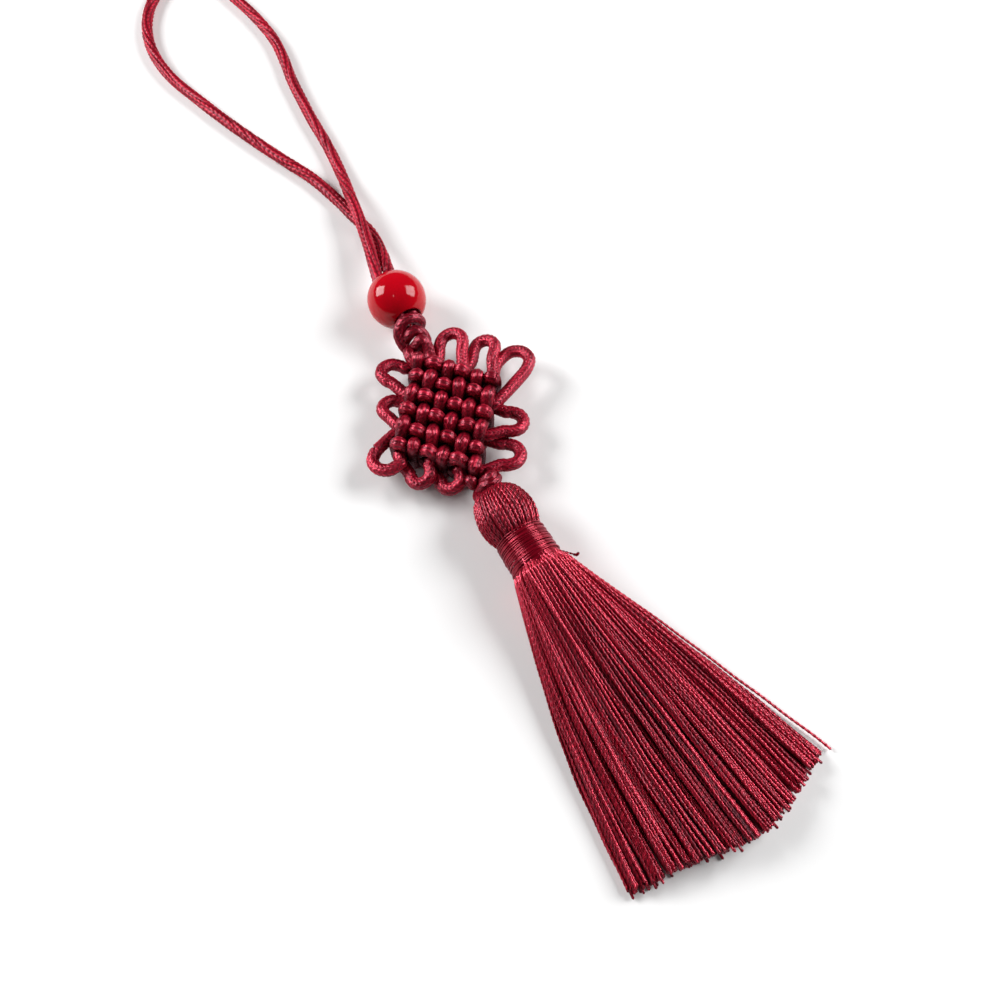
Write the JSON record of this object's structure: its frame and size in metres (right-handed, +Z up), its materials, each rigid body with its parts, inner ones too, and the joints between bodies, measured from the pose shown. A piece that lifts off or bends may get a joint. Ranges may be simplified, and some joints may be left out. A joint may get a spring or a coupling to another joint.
{
  "type": "tassel pendant",
  "caption": "Knotted silk tassel pendant: braided hanging loop, round bead, square endless knot with looped ears, and a bound tassel with a flared thread skirt.",
  "frame": {"origin": "middle of the underside of the box round the bead, knot, binding and tassel, which is the surface the pendant lies on; the hanging loop is left out of that box", "axes": "+Y along the pendant from the tassel's skirt towards the hanging loop, +Z up out of the knot's front, +X to the right as seen from the front with the loop at the top"},
  "size_m": [0.0324, 0.1622, 0.0079],
  "materials": {
    "braided_cord": "satin braid, wine red",
    "bead_red": "high gloss, bright red",
    "tassel_thread": "twisted silk-like thread, satin, wine red",
    "binding_thread": "fine wound thread, shiny, wine red"
  },
  "bodies": {
    "root": {"hanging_loop": "braided_cord", "bead": "bead_red", "knot_cord": "braided_cord", "tassel": "tassel_thread", "neck_binding": "binding_thread"}
  },
  "joints": []
}
